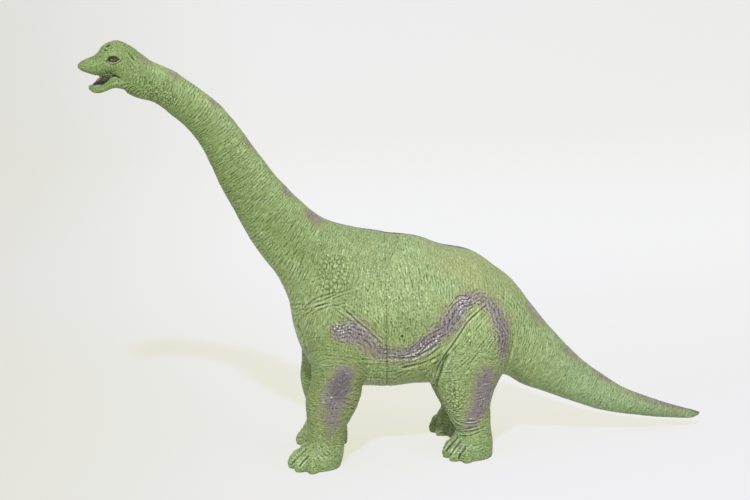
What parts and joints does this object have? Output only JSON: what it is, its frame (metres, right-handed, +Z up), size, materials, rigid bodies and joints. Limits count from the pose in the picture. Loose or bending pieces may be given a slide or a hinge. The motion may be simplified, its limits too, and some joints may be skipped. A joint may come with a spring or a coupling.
{
  "type": "toy dinosaur figure",
  "caption": "Soft vinyl figure of a long-necked dinosaur, moulded as front and rear skins glued at the waist and filled with fibre.",
  "frame": {"origin": "on the floor, below the middle of the figure's box", "axes": "+X towards the tail, +Y towards the figure's right side, +Z up; the head points along -X"},
  "size_m": [0.5352, 0.108, 0.3658],
  "materials": {
    "painted_vinyl": "soft satin vinyl, leaf green with sprayed purple-grey stripes",
    "glue": "clear amber contact glue",
    "fibre": "loose white polyester fibre"
  },
  "bodies": {
    "root": {"front_skin": "painted_vinyl", "rear_skin": "painted_vinyl", "waist_glue": "glue", "neck_filling": "fibre", "chest_filling": "fibre", "left_foreleg_filling": "fibre", "right_foreleg_filling": "fibre", "hip_filling": "fibre", "left_hindleg_filling": "fibre", "right_hindleg_filling": "fibre", "tail_filling": "fibre"}
  },
  "joints": []
}
